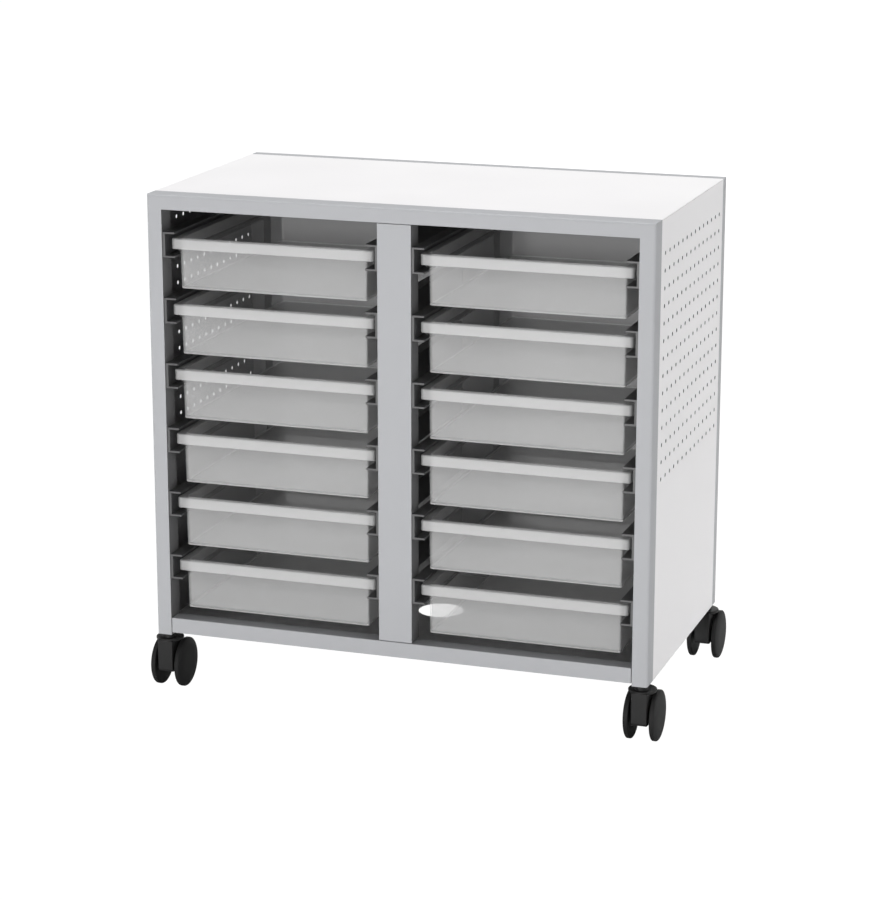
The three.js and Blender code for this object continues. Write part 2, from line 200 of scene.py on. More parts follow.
def facing_mask():
    """One on faces that look a given way, nought on the others."""
    tree, given, result = new_group(
        "facing_mask", [("Direction", "NodeSocketVector", (0, 0, 1))], [("Mask", "NodeSocketFloat")]
    )
    along = add_node(tree, "ShaderNodeVectorMath", operation="DOT_PRODUCT")
    tree.links.new(add_node(tree, "ShaderNodeTexCoord").outputs["Normal"], along.inputs[0])
    tree.links.new(given.outputs["Direction"], along.inputs[1])
    tree.links.new(remap(tree, along.outputs["Value"], 0.4, 0.8, 0.0, 1.0), result.inputs["Mask"])
    return tree


FACING = facing_mask()


def surface_grain():
    """Fine texture of a coat or a moulding, with a slow drift of tone over the whole surface."""
    tree, given, result = new_group(
        "surface_grain",
        [
            ("Colour", "NodeSocketColor", (0.5, 0.5, 0.5, 1)),
            ("Grain Scale", "NodeSocketFloat", 1400.0),
            ("Speckle", "NodeSocketFloat", 0.04),
            ("Drift Scale", "NodeSocketFloat", 7.0),
            ("Drift", "NodeSocketFloat", 0.04),
            ("Roughness", "NodeSocketFloat", 0.5),
            ("Roughness Spread", "NodeSocketFloat", 0.12),
        ],
        [
            ("Colour", "NodeSocketColor"),
            ("Roughness", "NodeSocketFloat"),
            ("Height", "NodeSocketFloat"),
        ],
    )
    coords = add_node(tree, "ShaderNodeTexCoord").outputs["Object"]
    grain = noise(tree, coords, given.outputs["Grain Scale"], 3.0)
    drift = noise(tree, coords, given.outputs["Drift Scale"], 2.0)
    speckle = math_node(tree, "MULTIPLY", math_node(tree, "SUBTRACT", grain, 0.5), given.outputs["Speckle"])
    sway = math_node(tree, "MULTIPLY", math_node(tree, "SUBTRACT", drift, 0.5), given.outputs["Drift"])
    factor = math_node(tree, "ADD", math_node(tree, "ADD", speckle, sway), 1.0)
    tree.links.new(tinted(tree, given.outputs["Colour"], factor), result.inputs["Colour"])
    spread = math_node(tree, "MULTIPLY", math_node(tree, "SUBTRACT", drift, 0.5), given.outputs["Roughness Spread"])
    tree.links.new(math_node(tree, "ADD", spread, given.outputs["Roughness"]), result.inputs["Roughness"])
    tree.links.new(grain, result.inputs["Height"])
    return tree


def settled_dust():
    """A thin uneven film on faces that look up."""
    tree, given, result = new_group(
        "settled_dust",
        [
            ("Colour", "NodeSocketColor", (0.5, 0.5, 0.5, 1)),
            ("Dust", "NodeSocketColor", (0.45, 0.44, 0.42, 1)),
            ("Amount", "NodeSocketFloat", 0.2),
        ],
        [("Colour", "NodeSocketColor"), ("Mask", "NodeSocketFloat")],
    )
    upward = use_group(tree, FACING, Direction=(0, 0, 1)).outputs["Mask"]
    coords = add_node(tree, "ShaderNodeTexCoord").outputs["Object"]
    patch = remap(tree, noise(tree, coords, 38.0, 4.0), 0.35, 0.7, 0.25, 1.0)
    mask = math_node(tree, "MULTIPLY", math_node(tree, "MULTIPLY", upward, patch), given.outputs["Amount"])
    tree.links.new(blended(tree, mask, given.outputs["Colour"], given.outputs["Dust"]), result.inputs["Colour"])
    tree.links.new(mask, result.inputs["Mask"])
    return tree


def wall_cover_and_shade():
    """How much light a tray's wall stops, from its rim at Z 0 down to its foot, and how much its floor stops. Just
    under the rim it stops less, so the dark inside shows through: painted shade under the rim.
    """
    tree, given, result = new_group(
        "wall_cover_and_shade",
        [
            ("Rim", "NodeSocketFloat", 0.3),
            ("Neck", "NodeSocketFloat", 0.3),
            ("Foot", "NodeSocketFloat", 0.3),
            ("Floor", "NodeSocketFloat", 0.3),
        ],
        [("Cover", "NodeSocketFloat")],
    )
    low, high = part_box("left_tray_1")
    floor_z = low.z - high.z + TRAY_WALL
    parted = add_node(tree, "ShaderNodeSeparateXYZ")
    tree.links.new(add_node(tree, "ShaderNodeTexCoord").outputs["Object"], parted.inputs[0])
    z = parted.outputs["Z"]
    wall = remap(tree, z, -3 * RIM_HEIGHT, -0.7 * RIM_HEIGHT, given.outputs["Foot"], given.outputs["Neck"])
    upper = remap(tree, z, -1.02 * RIM_HEIGHT, -0.98 * RIM_HEIGHT, wall, given.outputs["Rim"])
    cover = remap(tree, z, floor_z, floor_z + LIP_ROUND, given.outputs["Floor"], upper)
    tree.links.new(cover, result.inputs["Cover"])
    return tree


GRAIN = surface_grain()
DUST = settled_dust()
COVER = wall_cover_and_shade()


def new_material(name):
    material = bpy.data.materials.new(name)
    material.use_nodes = True
    tree = material.node_tree
    return material, tree, tree.nodes["Principled BSDF"]


def bump(tree, shader, height, strength, distance):
    node = add_node(tree, "ShaderNodeBump")
    feed(tree, node, Height=height, Strength=strength, Distance=distance)
    tree.links.new(node.outputs["Normal"], shader.inputs["Normal"])


def grained(name, colour, roughness, grain_scale, speckle, drift, strength, distance, dust=0.0, other=None):
    """A coat or moulding with its grain, its drift of tone and a little dust, in one colour or two.

    The other colour, where there is one, is given with the way that its faces look: it is painted shade on faces that
    lie in shade.
    """
    material, tree, shader = new_material(name)
    base = (*colour, 1)
    if other:
        second, direction = other
        base = blended(tree, use_group(tree, FACING, Direction=direction).outputs["Mask"], base, (*second, 1))
    grain = use_group(
        tree,
        GRAIN,
        Colour=base,
        Grain_Scale=grain_scale,
        Speckle=speckle,
        Drift=drift,
        Roughness=roughness,
    )
    tone = grain.outputs["Colour"]
    if dust:
        tone = use_group(tree, DUST, Colour=tone, Amount=dust).outputs["Colour"]
    tree.links.new(tone, shader.inputs["Base Color"])
    tree.links.new(grain.outputs["Roughness"], shader.inputs["Roughness"])
    bump(tree, shader, grain.outputs["Height"], strength, distance)
    return material, tree, shader


# Finishes

SILVER = (0.453, 0.459, 0.476)
WHITE = (0.930, 0.920, 0.927)
# GREY is painted shade: inner faces that lie in shade inside the bays are drawn grey
GREY = (0.280, 0.280, 0.284)
FLOOR_GREY = (0.820, 0.820, 0.824)
# near-black that paints the shade on the rear frame, post and rail, built like the silver front ones
REAR_SHADE_GREY = (0.110, 0.110, 0.112)
# painted shade on the back panel's inner face
BACK_SHADE_GREY = (0.200, 0.200, 0.203)
RUNNER = (0.100, 0.100, 0.102)
FROST = (0.900, 0.900, 0.900)
RIM_COVER = 0.28  # share of the light that one face of a tray's rim stops
NECK_SHADE_COVER = 0.185  # the same just under the rim, set lower so the dark inside shows through: painted shade under the rim
FOOT_COVER = 0.25  # the same lower down the wall, near the floor
FLOOR_COVER = 0.45  # the same of the floor
HOOD = (0.017, 0.017, 0.017)
# blacked steel, drawn darker still to paint the shade in the neck's gap
STEM = (0.006, 0.006, 0.006)
TREAD = (0.012, 0.012, 0.012)
MATT_SHEEN = 0.3  # reflection of a matt surface, half being common


def silver_paint():
    material, _, shader = grained("silver_paint_coat", SILVER, 0.6, 1500.0, 0.05, 0.03, 0.25, 0.00006)
    shader.inputs["Specular IOR Level"].default_value = MATT_SHEEN
    return material


def white_paint():
    material, _, _ = grained("white_paint_coat", WHITE, 0.5, 1300.0, 0.02, 0.02, 0.25, 0.00006)
    return material


def top_paint_and_shade():
    # white coat; its underside, in shade inside the bays, is drawn grey: painted shade
    under = (GREY, (0, 0, -1))
    material, _, _ = grained("top_paint_coat", WHITE, 0.5, 1300.0, 0.02, 0.02, 0.25, 0.00006, other=under)
    return material


# Grey of painted shade, with a little real dust, for faces that stand in shade inside the carcase
def grey_paint():
    material, _, _ = grained("grey_paint_coat", GREY, 0.55, 1300.0, 0.08, 0.08, 0.25, 0.00006, dust=0.06)
    return material


def floor_paint():
    material, _, _ = grained("floor_paint_coat", FLOOR_GREY, 0.55, 1300.0, 0.08, 0.08, 0.25, 0.00006, dust=0.06)
    return material


def rear_painted_shade():
    material, _, _ = grained("rear_paint_coat", REAR_SHADE_GREY, 0.55, 1300.0, 0.08, 0.08, 0.25, 0.00006, dust=0.06)
    return material


def back_paint_and_shade():
    # silver outside; the inner face, looking to the front into the bays, is drawn dark grey: painted shade
    inside = (BACK_SHADE_GREY, (0, -1, 0))
    material, _, _ = grained("back_paint_coat", SILVER, 0.55, 1500.0, 0.05, 0.03, 0.25, 0.00006, other=inside)
    return material


def runner_plastic():
    material, _, _ = grained("runner_plastic_moulding", RUNNER, 0.48, 2200.0, 0.06, 0.06, 0.2, 0.00004, dust=0.05)
    return material


def frosted_plastic():
    material, tree, shader = grained("frosted_plastic_moulding", FROST, 0.42, 2600.0, 0.03, 0.03, 0.2, 0.00003)
    cover = use_group(tree, COVER, Rim=RIM_COVER, Neck=NECK_SHADE_COVER, Foot=FOOT_COVER, Floor=FLOOR_COVER)
    tree.links.new(cover.outputs["Cover"], shader.inputs["Alpha"])
    shader.inputs["IOR"].default_value = 1.49
    return material


def hood_plastic():
    material, _, shader = grained("hood_plastic_moulding", HOOD, 0.62, 1800.0, 0.12, 0.12, 0.35, 0.00008, dust=0.02)
    shader.inputs["Specular IOR Level"].default_value = MATT_SHEEN
    return material


def stem_steel_and_shade():
    material, _, _ = grained("stem_steel_blacked", STEM, 0.6, 1800.0, 0.2, 0.2, 0.35, 0.00008)
    return material


def tread_rubber():
    material, _, shader = grained("tread_rubber_moulding", TREAD, 0.68, 1600.0, 0.15, 0.15, 0.35, 0.00008)
    shader.inputs["Specular IOR Level"].default_value = MATT_SHEEN
    return material


FINISHES = {
    "silver_paint": silver_paint(),
    "white_paint": white_paint(),
    "grey_paint": grey_paint(),
    "floor_paint": floor_paint(),
    "rear_painted_shade": rear_painted_shade(),
    "top_paint_and_shade": top_paint_and_shade(),
    "back_paint_and_shade": back_paint_and_shade(),
    "runner_plastic": runner_plastic(),
    "frosted_plastic": frosted_plastic(),
    "hood_plastic": hood_plastic(),
    "stem_steel_and_shade": stem_steel_and_shade(),
    "tread_rubber": tread_rubber(),
}


# Meshes


def new_mesh(name, shape):
    """A finished mesh from a bmesh, smooth over its gentle edges."""
    bmesh.ops.recalc_face_normals(shape, faces=shape.faces)
    mesh = bpy.data.meshes.new(name)
    shape.to_mesh(mesh)
    shape.free()
    for face in mesh.polygons:
        face.use_smooth = True
    mesh.set_sharp_from_angle(angle=SMOOTH_BELOW)
    return mesh


def place(name, mesh, finishes, body, node, where=(0, 0, 0)):
    """A piece that stands for one CAD node, in the finishes named, and rides on its body."""
    piece = bpy.data.objects.new(name, mesh)
    piece.location = where
    bpy.context.scene.collection.objects.link(piece)
    if not mesh.materials:
        for finish in finishes:
            mesh.materials.append(FINISHES[finish])
    even = piece.modifiers.new("even", "WEIGHTED_NORMAL")  # keeps broad faces flat beside eased edges
    even.keep_sharp = True
    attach(piece, body)
    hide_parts(node)
    return piece


def dress(node, finish, ease):
    """A CAD node in its finish, with its sharp edges eased."""
    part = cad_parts[node]
    for slot in part.material_slots:
        slot.link = "OBJECT"
        slot.material = FINISHES[finish]
    part.modifiers.new("weld", "WELD").merge_threshold = 1e-6
    flat = part.modifiers.new("flat", "DECIMATE")
    flat.decimate_type = "DISSOLVE"
    flat.angle_limit = math.radians(0.5)
    bevel = part.modifiers.new("ease", "BEVEL")
    bevel.width = ease
    bevel.segments = 3
    bevel.limit_method = "ANGLE"
    bevel.angle_limit = math.radians(40)


def arc(centre, radius, start, end, steps):
    """Points of an arc, its angles in degrees."""
    angles = [math.radians(start + (end - start) * i / steps) for i in range(steps + 1)]
    return [(centre[0] + radius * math.cos(a), centre[1] + radius * math.sin(a)) for a in angles]


def extruded(points, low, high, axis):
    """A closed prism: an outline in the plane across an axis, from low to high along it."""
    shape = bmesh.new()
    turn = {"X": lambda p, d: (d, *p), "Y": lambda p, d: (p[0], d, p[1]), "Z": lambda p, d: (*p, d)}[axis]
    face = shape.faces.new([shape.verts.new(turn(p, low)) for p in points])
    step = Vector(turn((0, 0), high - low))
    moved = bmesh.ops.extrude_face_region(shape, geom=[face])["geom"]
    bmesh.ops.translate(shape, vec=step, verts=[v for v in moved if isinstance(v, bmesh.types.BMVert)])
    bmesh.ops.recalc_face_normals(shape, faces=shape.faces)
    return shape


def ease_edges(shape, width, segments, chosen):
    edges = [e for e in shape.edges if e.calc_face_angle(0) > SMOOTH_BELOW and chosen(e)]
    bmesh.ops.bevel(shape, geom=edges, offset=width, segments=segments, profile=0.5, affect="EDGES")


def turned(profile, segments):
    """A closed form turned about X from (radius, x) points that start and end on the axis."""
    shape = bmesh.new()
    rings = []
    for radius, x in profile:
        if radius < 1e-9:
            rings.append([shape.verts.new((x, 0, 0))])
            continue
        angles = [2 * math.pi * i / segments for i in range(segments)]
        rings.append([shape.verts.new((x, radius * math.cos(a), radius * math.sin(a))) for a in angles])
    for first, second in zip(rings, rings[1:]):
        for i in range(segments):
            j = (i + 1) % segments
            corners = [first[i % len(first)], first[j % len(first)], second[j % len(second)], second[i % len(second)]]
            shape.faces.new(list(dict.fromkeys(corners)))
    return shape


def united(name, shapes):
    """One mesh from closed shapes that reach into each other."""
    objects = []
    for index, shape in enumerate(shapes):
        piece = bpy.data.objects.new(f"{name}_{index}", new_mesh(f"{name}_{index}", shape))
        bpy.context.scene.collection.objects.link(piece)
        objects.append(piece)
    base = objects[0]
    for other in objects[1:]:
        join = base.modifiers.new("join", "BOOLEAN")
        join.operation = "UNION"
        join.solver = "EXACT"
        join.object = other
    bpy.context.view_layer.update()
    graph = bpy.context.evaluated_depsgraph_get()
    mesh = bpy.data.meshes.new_from_object(base.evaluated_get(graph))
    mesh.name = name
    for piece in objects:
        bpy.data.objects.remove(piece)
    for face in mesh.polygons:
        face.use_smooth = True
    mesh.set_sharp_from_angle(angle=SMOOTH_BELOW)
    return mesh


def shade_bay_sides(mesh, chosen):
    """Gives the second finish, a grey of painted shade, to the upright faces that close a bay, where the runners are
    mounted.
    """
    for face in mesh.polygons:
        face.material_index = int(abs(face.normal.x) > 0.9 and chosen(face))


# Front frame: uprights and top rail as one bent-over arch of tube


def front_frame():
    low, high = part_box("front_frame")
    inner = high.x - UPRIGHT_WIDTH
    under = high.z - TOP_RAIL_HEIGHT
    arch = [
        (low.x, low.z),
        (-inner, low.z),
        (-inner, under),
        (inner, under),
        (inner, low.z),
        (high.x, low.z),
        (high.x, high.z),
        (low.x, high.z),
    ]
    shape = extruded(arch, low.y, high.y, "Y")

    def outer_front(edge):
        a, b = (v.co for v in edge.verts)
        return all(abs(abs(p.x) - high.x) < 1e-6 and abs(p.y - low.y) < 1e-6 for p in (a, b))

    ease_edges(shape, FRAME_CORNER, 6, outer_front)
    ease_edges(shape, FRAME_EASE, 3, lambda edge: True)
    mesh = new_mesh("front_frame_tube", shape)
    shade_bay_sides(mesh, lambda face: face.normal.x * face.center.x < 0)
    place("front_frame_tube", mesh, ["silver_paint", "grey_paint"], "cabinet", "front_frame")


# Centre post and bottom rail: straight tubes whose ends are narrowed where they are welded on


def welded_tube(node, axis):
    low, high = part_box(node)
    low[axis] += NECK_LENGTH
    high[axis] -= NECK_LENGTH
    shape = bmesh.new()
    bmesh.ops.create_cube(shape, size=1, matrix=Matrix.LocRotScale((low + high) / 2, None, high - low))
    ends = [f for f in shape.faces if abs(f.normal[axis]) > 0.9]
    ease_edges(shape, TUBE_EASE, 3, lambda edge: not any(f in ends for f in edge.link_faces))
    ends = [f for f in shape.faces if abs(f.normal[axis]) > 0.9]
    bmesh.ops.inset_individual(shape, faces=ends, thickness=NECK_DEPTH)
    for end in ends:
        step = end.normal * NECK_LENGTH
        moved = bmesh.ops.extrude_face_region(shape, geom=[end])["geom"]
        bmesh.ops.translate(shape, vec=step, verts=[v for v in moved if isinstance(v, bmesh.types.BMVert)])
    bmesh.ops.delete(shape, geom=[f for f in ends if f.is_valid], context="FACES_ONLY")
    mesh = new_mesh(f"{node}_tube", shape)
    shade_bay_sides(mesh, lambda face: axis == 2)
    place(f"{node}_tube", mesh, ["silver_paint", "grey_paint"], "cabinet", node)


# Side panels: white sheet outside, grey painted shade inside, with a square field of round holes


def side_panel(hand, side):
    low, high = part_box(f"{hand}_side_panel")
    outer_x = high.x if side > 0 else low.x
    middle = (low.y + high.y) / 2
    first_y = middle - (HOLE_COLUMNS - 1) * HOLE_PITCH / 2
    top_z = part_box("front_frame")[1].z - HOLE_FIELD_TOP
    first_z = top_z - (HOLE_ROWS - 1) * HOLE_PITCH
    shape = bmesh.new()
    made = {}

    def vert(y, z):
        key = (round(y, 6), round(z, 6))
        if key not in made:
            made[key] = shape.verts.new((outer_x, y, z))
        return made[key]

    half = HOLE_PITCH / 2
    quarter = HOLE_STEPS // 4

    def cell_edge(y, z):
        """Points on a cell's square outline, in step with the points of its hole."""
        corners = [(half, -half), (half, half), (-half, half), (-half, -half)]
        points = []
        for (y0, z0), (y1, z1) in zip(corners, corners[1:] + corners[:1]):
            for i in range(quarter):
                t = i / quarter
                points.append(vert(y + y0 + (y1 - y0) * t, z + z0 + (z1 - z0) * t))
        return points

    for row in range(HOLE_ROWS):
        for column in range(HOLE_COLUMNS):
            y = first_y + column * HOLE_PITCH
            z = first_z + row * HOLE_PITCH
            square = cell_edge(y, z)
            hole = [vert(*p) for p in arc((y, z), HOLE_DIAMETER / 2, -45, 315, HOLE_STEPS)[:-1]]
            for i in range(HOLE_STEPS):
                j = (i + 1) % HOLE_STEPS
                shape.faces.new([square[i], square[j], hole[j], hole[i]])

    y0, y1 = first_y - half, first_y + (HOLE_COLUMNS - 0.5) * HOLE_PITCH
    z0, z1 = first_z - half, first_z + (HOLE_ROWS - 0.5) * HOLE_PITCH
    steps_y = HOLE_COLUMNS * quarter
    steps_z = HOLE_ROWS * quarter
    along_y = [y0 + (y1 - y0) * i / steps_y for i in range(steps_y + 1)]
    along_z = [z0 + (z1 - z0) * i / steps_z for i in range(steps_z + 1)]
    a, b, c, d = (vert(y, z) for y, z in ((low.y, low.z), (high.y, low.z), (high.y, high.z), (low.y, high.z)))
    shape.faces.new([a, b, *[vert(y, z0) for y in reversed(along_y)]])
    shape.faces.new([c, d, *[vert(y, z1) for y in along_y]])
    shape.faces.new([b, c, *[vert(y1, z) for z in reversed(along_z)]])
    shape.faces.new([d, a, *[vert(y0, z) for z in along_z]])
    bmesh.ops.recalc_face_normals(shape, faces=shape.faces)
    if (shape.faces[:][0].normal.x > 0) != (side > 0):
        bmesh.ops.reverse_faces(shape, faces=shape.faces)
    mesh = bpy.data.meshes.new(f"{hand}_side_panel_sheet")
    shape.to_mesh(mesh)
    shape.free()
    piece = place(f"{hand}_side_panel_sheet", mesh, ["white_paint", "grey_paint"], "cabinet", f"{hand}_side_panel")
    solid = piece.modifiers.new("sheet", "SOLIDIFY")
    solid.thickness = PERFORATED_SHEET
    solid.offset = -1
    # the inner face and the hole walls take the grey that paints the shade inside
    solid.material_offset = 1
    solid.material_offset_rim = 1


# Trays: one moulded skin from the floor inside, over the rim and back under the foot


def tray_ring(shape, half_x, end, length, radius, z):
    """A rounded rectangle of points at one height, with a point at each end of the glides on its long sides."""
    corners = [(half_x - radius, end + radius, -90), (half_x - radius, length - end - radius, 0),
               (radius - half_x, length - end - radius, 90), (radius - half_x, end + radius, 180)]
    near, far = GLIDE_SETBACK, length - GLIDE_SETBACK
    straights = [[(half_x, near), (half_x, far)], [], [(-half_x, far), (-half_x, near)], []]
    points = []
    for (x, y, start), straight in zip(corners, straights):
        points += arc((x, y), radius, start, start + 90, TRAY_CORNER_STEPS) + straight
    return [shape.verts.new((x, y, z)) for x, y in points]


def tray_profile(height):
    """(side inset, end inset, z) of each ring, from the flat of the floor inside to the flat of the underside."""

    def body(inset, z):
        return (RIM_SIDE_REACH + inset, RIM_END_REACH + inset, z)

    floor_z = TRAY_WALL - height
    lean = TRAY_DRAFT / height
    rows = []
    for u, v in arc((0, 0), TRAY_FLOOR_BEND, -90, 0, BEND_STEPS):
        z = floor_z + TRAY_FLOOR_BEND + v
        rows.append(body(TRAY_WALL - lean * z + TRAY_FLOOR_BEND - u, z))
    for u, v in arc((0, 0), RIM_INNER_ROUND, 180, 90, LIP_STEPS):
        rows.append(body(TRAY_WALL - RIM_INNER_ROUND - u, v - RIM_INNER_ROUND))
    for u, v in arc((0, 0), RIM_ROUND, 90, 180, BEND_STEPS):
        rows.append((RIM_ROUND + u, RIM_ROUND + u, v - RIM_ROUND))
    for u, v in arc((0, 0), LIP_ROUND, 180, 270, LIP_STEPS):
        rows.append((LIP_ROUND + u, LIP_ROUND + u, LIP_ROUND - RIM_HEIGHT + v))
    rows.append((TRAY_WALL, TRAY_WALL, -RIM_HEIGHT))
    for u, v in arc((0, 0), RIM_ROOT_ROUND, 180, 90, LIP_STEPS):
        inset = TRAY_WALL + RIM_ROOT_ROUND + u
        rows.append((inset, inset, v - TRAY_WALL - RIM_ROOT_ROUND))
    for u, v in arc((0, 0), RIM_ROOT_ROUND, 90, 0, LIP_STEPS):
        rows.append(body(u - RIM_ROOT_ROUND, v - TRAY_WALL - RIM_ROOT_ROUND))
    for u, v in arc((0, 0), TRAY_FOOT_BEND, 180, 270, BEND_STEPS):
        z = TRAY_FOOT_BEND - height + v
        rows.append(body(-lean * z + TRAY_FOOT_BEND + u, z))
    return rows


def tray_mesh(low, high):
    half = (high.x - low.x) / 2
    length = high.y - low.y
    height_to_foot = high.z - low.z
    shape = bmesh.new()
    rings = []
    for side, end, z in tray_profile(height_to_foot):
        radius = max(TRAY_CORNER - end, TRAY_CORNER / 2)
        rings.append(tray_ring(shape, half - side, end, length, radius, z))
    count = len(rings[0])
    for first, second in zip(rings, rings[1:]):
        for i in range(count):
            j = (i + 1) % count
            shape.faces.new([first[i], first[j], second[j], second[i]])
    shape.faces.new(rings[0])
    shape.faces.new(list(reversed(rings[-1])))
    bmesh.ops.recalc_face_normals(shape, faces=shape.faces)
    glide_faces = [
        f
        for f in shape.faces
        if f.normal.z < -0.99
        and abs(f.calc_center_median().z + RIM_HEIGHT) < 1e-5
        and f.calc_center_median().y > GLIDE_SETBACK
        and max(v.co.y for v in f.verts) - min(v.co.y for v in f.verts) > length / 2
    ]
    drop = glide_drop() - RIM_HEIGHT
    moved = bmesh.ops.extrude_face_region(shape, geom=glide_faces)["geom"]
    bmesh.ops.translate(shape, vec=(0, 0, -drop), verts=[v for v in moved if isinstance(v, bmesh.types.BMVert)])
    bmesh.ops.delete(shape, geom=[f for f in glide_faces if f.is_valid], context="FACES_ONLY")
    return new_mesh("tray_moulding", shape)


def glide_drop():
    """From a rim's top down to the underside of its glides, just above the runner's lower flange."""
    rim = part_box("left_tray_1")[1].z
    runner_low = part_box("left_outer_runner_1")[0].z
    return rim - runner_low - RUNNER_FLANGE - FIT_GAP


def trays():
    low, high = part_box("left_tray_1")
    mesh = tray_mesh(low, high)
    for row in ROWS:
        for hand in HANDS:
            node = f"{hand}_tray_{row}"
            low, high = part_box(node)
            where = ((low.x + high.x) / 2, low.y, high.z)
            place(f"{node}_moulding", mesh, ["frosted_plastic"], node, node, where)


# Casters


def upright_form(profile, where):
    """A form turned about Z from (radius, z) points."""
    shape = turned(profile, ROUND_SEGMENTS)
    bmesh.ops.rotate(shape, verts=shape.verts, matrix=Matrix.Rotation(-math.pi / 2, 3, "Y"))
    bmesh.ops.translate(shape, vec=where, verts=shape.verts)
    return shape


def hood_mesh(foot_z, wheel_radius):
    """Hood, round cap, neck, stem and axle in one, the stem at X 0 and Y 0."""
    front = CAP_SETBACK - CAP_RADIUS
    cap_top = foot_z - CAP_DROP
    cap_low = cap_top - CAP_THICKNESS
    cap_middle = (cap_low + cap_top) / 2
    outline = [(front, cap_middle)]
    outline += arc((front + HOOD_BEND, HOOD_CLEARANCE + HOOD_BEND), HOOD_BEND, 180, 270, HOOD_STEPS // 2)
    outline += [(CASTER_TRAIL, HOOD_CLEARANCE)]
    outline += arc((CASTER_TRAIL, wheel_radius), wheel_radius - HOOD_INSET, 0, 90, HOOD_STEPS)
    outline += [(CASTER_TRAIL, cap_middle)]
    hood = extruded(outline, -HOOD_WIDTH / 2, HOOD_WIDTH / 2, "X")
    ease_edges(hood, HOOD_EASE, 3, lambda edge: True)

    edge = CAP_RADIUS - FIT_GAP / 3  # a hair behind the hood's front face
    lower = [(edge - CAP_EASE + u, cap_low + CAP_EASE + v) for u, v in arc((0, 0), CAP_EASE, -90, 0, 4)]
    upper = [(edge - CAP_EASE + u, cap_top - CAP_EASE + v) for u, v in arc((0, 0), CAP_EASE, 0, 90, 4)]
    cap = upright_form([(0, cap_low), *lower, *upper, (0, cap_top)], (0, CAP_SETBACK, 0))
    neck_top = foot_z - FIT_GAP
    stem_top = foot_z + STEM_LENGTH
    neck = [(0, cap_middle), (NECK_RADIUS, cap_middle), (NECK_RADIUS, neck_top)]
    stem = [(STEM_RADIUS, neck_top), (STEM_RADIUS, stem_top), (0, stem_top)]
    reach = HOOD_WIDTH / 2 + WHEEL_STANDOFF + WHEEL_WIDTH - AXLE_COVER
    axle = turned([(0, -reach), (AXLE_RADIUS, -reach), (AXLE_RADIUS, reach), (0, reach)], ROUND_SEGMENTS)
    bmesh.ops.translate(axle, vec=(0, CASTER_TRAIL, wheel_radius), verts=axle.verts)
    mesh = united("caster_hood_shell", [hood, cap, upright_form([*neck, *stem], (0, 0, 0)), axle])
    # The neck and stem above the cap take the darker blacked steel: partly its own colour, partly painted shade in
    # the gap under the foot
    for face in mesh.polygons:
        face.material_index = int(face.center.z > cap_top + FIT_GAP)
    return mesh


def wheel_mesh(radius):
    """A wheel about X, with its inner face at X 0 and its domed face towards +X."""
    bore = AXLE_RADIUS + FIT_GAP
    hub_x = FIT_GAP - WHEEL_STANDOFF
    rise = WHEEL_WIDTH - TREAD_WIDTH
    inner_edge = [(radius - TREAD_EASE + v, TREAD_EASE - u) for u, v in arc((0, 0), TREAD_EASE, 90, 0, 4)]
    dome = [
        (radius - DOME_REACH * (1 - math.cos(a)), TREAD_WIDTH + rise * math.sin(a))
        for a in (math.pi / 2 * i / DOME_STEPS for i in range(DOME_STEPS + 1))
    ]
    inner = sorted(inner_edge, key=lambda p: p[1])
    profile = [
        (0, WHEEL_WIDTH - AXLE_COVER),
        (bore, WHEEL_WIDTH - AXLE_COVER),
        (bore, hub_x),
        (HUB_RADIUS, hub_x),
        (HUB_RADIUS, 0),
        *inner,
        *dome,
        (0, WHEEL_WIDTH),
    ]
    return new_mesh("caster_wheel_disc", turned(profile, WHEEL_SEGMENTS))


def casters():
    foot_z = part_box("front_frame")[0].z
    wheel_low, wheel_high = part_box("front_left_caster_outer_wheel")
    radius = (wheel_high.z - wheel_low.z) / 2
    hood = hood_mesh(foot_z, radius)
    wheel = wheel_mesh(radius)
    for end in ENDS:
        for hand, side in HANDS.items():
            caster = f"{end}_{hand}_caster"
            low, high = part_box(f"{caster}_hood")
            stem_x = (low.x + high.x) / 2
            stem_y = low.y + CAP_RADIUS - CAP_SETBACK
            where = (stem_x, stem_y, 0)
            place(f"{caster}_hood_shell", hood, ["hood_plastic", "stem_steel_and_shade"], caster, f"{caster}_hood", where)
            for edge, way in zip(EDGES, (side, -side)):
                node = f"{caster}_{edge}_wheel"
                piece = place(f"{node}_disc", wheel, ["tread_rubber"], node, node)
                turn = Matrix.Rotation(0 if way > 0 else math.pi, 4, "Z")
                offset = (stem_x + way * (HOOD_WIDTH / 2 + WHEEL_STANDOFF), stem_y + CASTER_TRAIL, radius)
                piece.matrix_world = Matrix.Translation(offset) @ turn


# Pieces whose CAD solids are shown


def dressed_nodes():
    # the rear tubes are drawn near-black: painted shade
    for node in ("rear_frame", "rear_centre_post", "rear_bottom_rail"):
        dress(node, "rear_painted_shade", TUBE_EASE)
    dress("floor_panel", "floor_paint", SHEET_EASE)
    dress("back_panel", "back_paint_and_shade", SHEET_EASE)
    dress("top_panel", "top_paint_and_shade", SHEET_EASE)
    for row in ROWS:
        for hand in HANDS:
            for edge in EDGES:
                dress(f"{hand}_{edge}_runner_{row}", "runner_plastic", RUNNER_EASE)


# Stage, light and camera

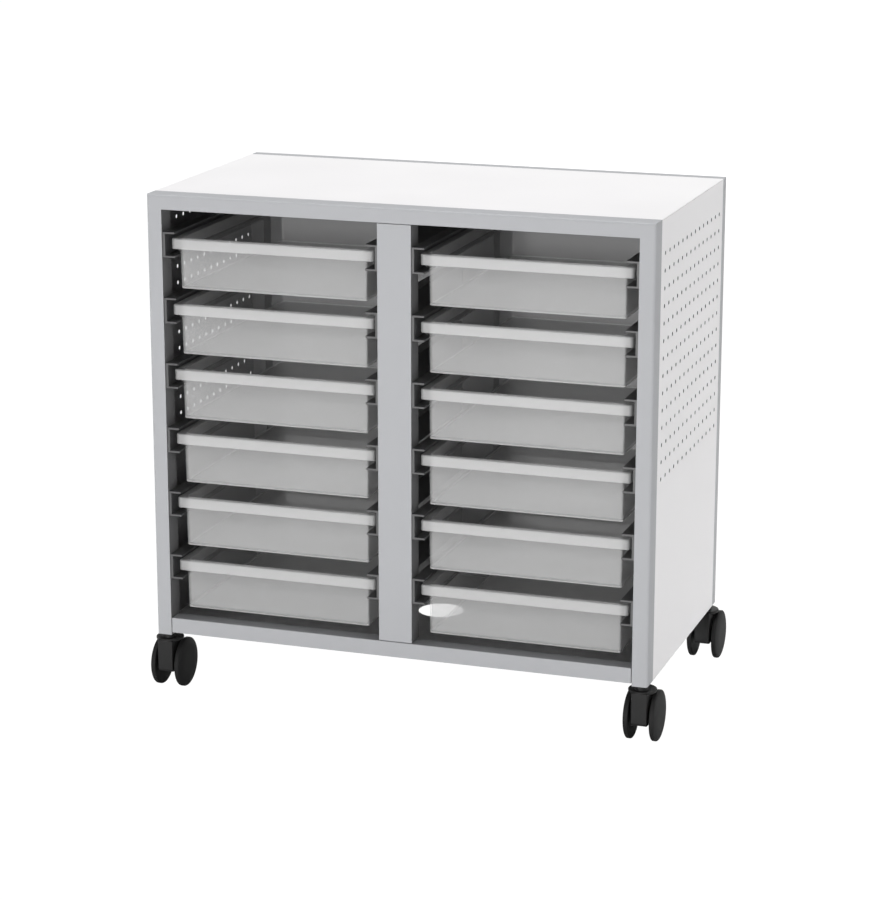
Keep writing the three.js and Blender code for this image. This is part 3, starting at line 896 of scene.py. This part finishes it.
FLOOR_SIZE = 30.0
FLOOR_TONE = 0.75
FLOOR_GLOW_STRENGTH = 1.06
FLOOR_GLOW = 0.96  # share of the seen floor that shines by itself, so that only a faint shadow shows
WORLD_LIGHT = 0.2
LIGHTS = {  # place, width, height, power in watts
    "front_light": ((-0.2, -5.0, 0.50), 1.0, 0.4, 141.0),
    "side_light": ((4.6, 1.3, 0.55), 2.4, 0.9, 61.0),
    "top_light": ((0.0, 1.3, 6.0), 2.6, 2.6, 288.0),
    "left_light": ((-4.6, 1.3, 0.55), 2.4, 0.9, 61.0),
    "back_light": ((-0.5, 5.0, 0.40), 2.4, 0.7, 82.0),
}
CAMERA_PLACE = (1.2995, -3.8697, 1.4274)
CAMERA_TURN = 18.761  # degrees from straight ahead, seen from above
CAMERA_TILT = 14.779  # degrees down from level
LENS = 111.42


def floor():
    shape = bmesh.new()
    bmesh.ops.create_grid(shape, x_segments=1, y_segments=1, size=FLOOR_SIZE / 2)
    mesh = bpy.data.meshes.new("studio_floor")
    shape.to_mesh(mesh)
    shape.free()
    material, tree, shader = new_material("studio_floor_white")
    feed(tree, shader, Roughness=0.9, Base_Color=(FLOOR_TONE, FLOOR_TONE, FLOOR_TONE, 1))
    glow = add_node(tree, "ShaderNodeEmission")
    seen = add_node(tree, "ShaderNodeLightPath").outputs["Is Camera Ray"]
    mix = add_node(tree, "ShaderNodeMixShader")
    tree.links.new(math_node(tree, "MULTIPLY", seen, FLOOR_GLOW), mix.inputs["Fac"])
    tree.links.new(shader.outputs[0], mix.inputs[1])
    feed(tree, glow, Strength=FLOOR_GLOW_STRENGTH)
    tree.links.new(glow.outputs[0], mix.inputs[2])
    tree.links.new(mix.outputs[0], tree.nodes["Material Output"].inputs["Surface"])
    mesh.materials.append(material)
    piece = bpy.data.objects.new("studio_floor", mesh)
    bpy.context.scene.collection.objects.link(piece)


def area_light(name, place_at, width, height, power):
    light = bpy.data.lights.new(name, "AREA")
    light.shape = "RECTANGLE"
    light.size = width
    light.size_y = height
    light.energy = power
    lamp = bpy.data.objects.new(name, light)
    lamp.location = place_at
    aim = Vector((0, 0, 0.4)) - Vector(place_at)
    lamp.rotation_euler = aim.to_track_quat("-Z", "Y").to_euler()
    bpy.context.scene.collection.objects.link(lamp)


def studio():
    scene = bpy.context.scene
    scene.view_settings.view_transform = "Standard"
    world = bpy.data.worlds.new("studio_world")
    scene.world = world
    world.use_nodes = True
    tree = world.node_tree
    seen = add_node(tree, "ShaderNodeLightPath").outputs["Is Camera Ray"]
    strength = remap(tree, seen, 0.0, 1.0, WORLD_LIGHT, 1.0)
    background = tree.nodes["Background"]
    background.inputs["Color"].default_value = (1, 1, 1, 1)
    tree.links.new(strength, background.inputs["Strength"])
    for name, settings in LIGHTS.items():
        area_light(name, *settings)


def camera():
    lens = bpy.data.cameras.new("camera")
    lens.lens = LENS
    lens.sensor_width = 36.0
    view = bpy.data.objects.new("camera", lens)
    view.location = CAMERA_PLACE
    view.rotation_euler = (math.radians(90 - CAMERA_TILT), 0, math.radians(CAMERA_TURN))
    bpy.context.scene.collection.objects.link(view)
    bpy.context.scene.camera = view


front_frame()
welded_tube("front_centre_post", 2)
welded_tube("front_bottom_rail", 0)
for hand, side in HANDS.items():
    side_panel(hand, side)
trays()
casters()
dressed_nodes()
floor()
studio()
camera()

bpy.context.view_layer.update()
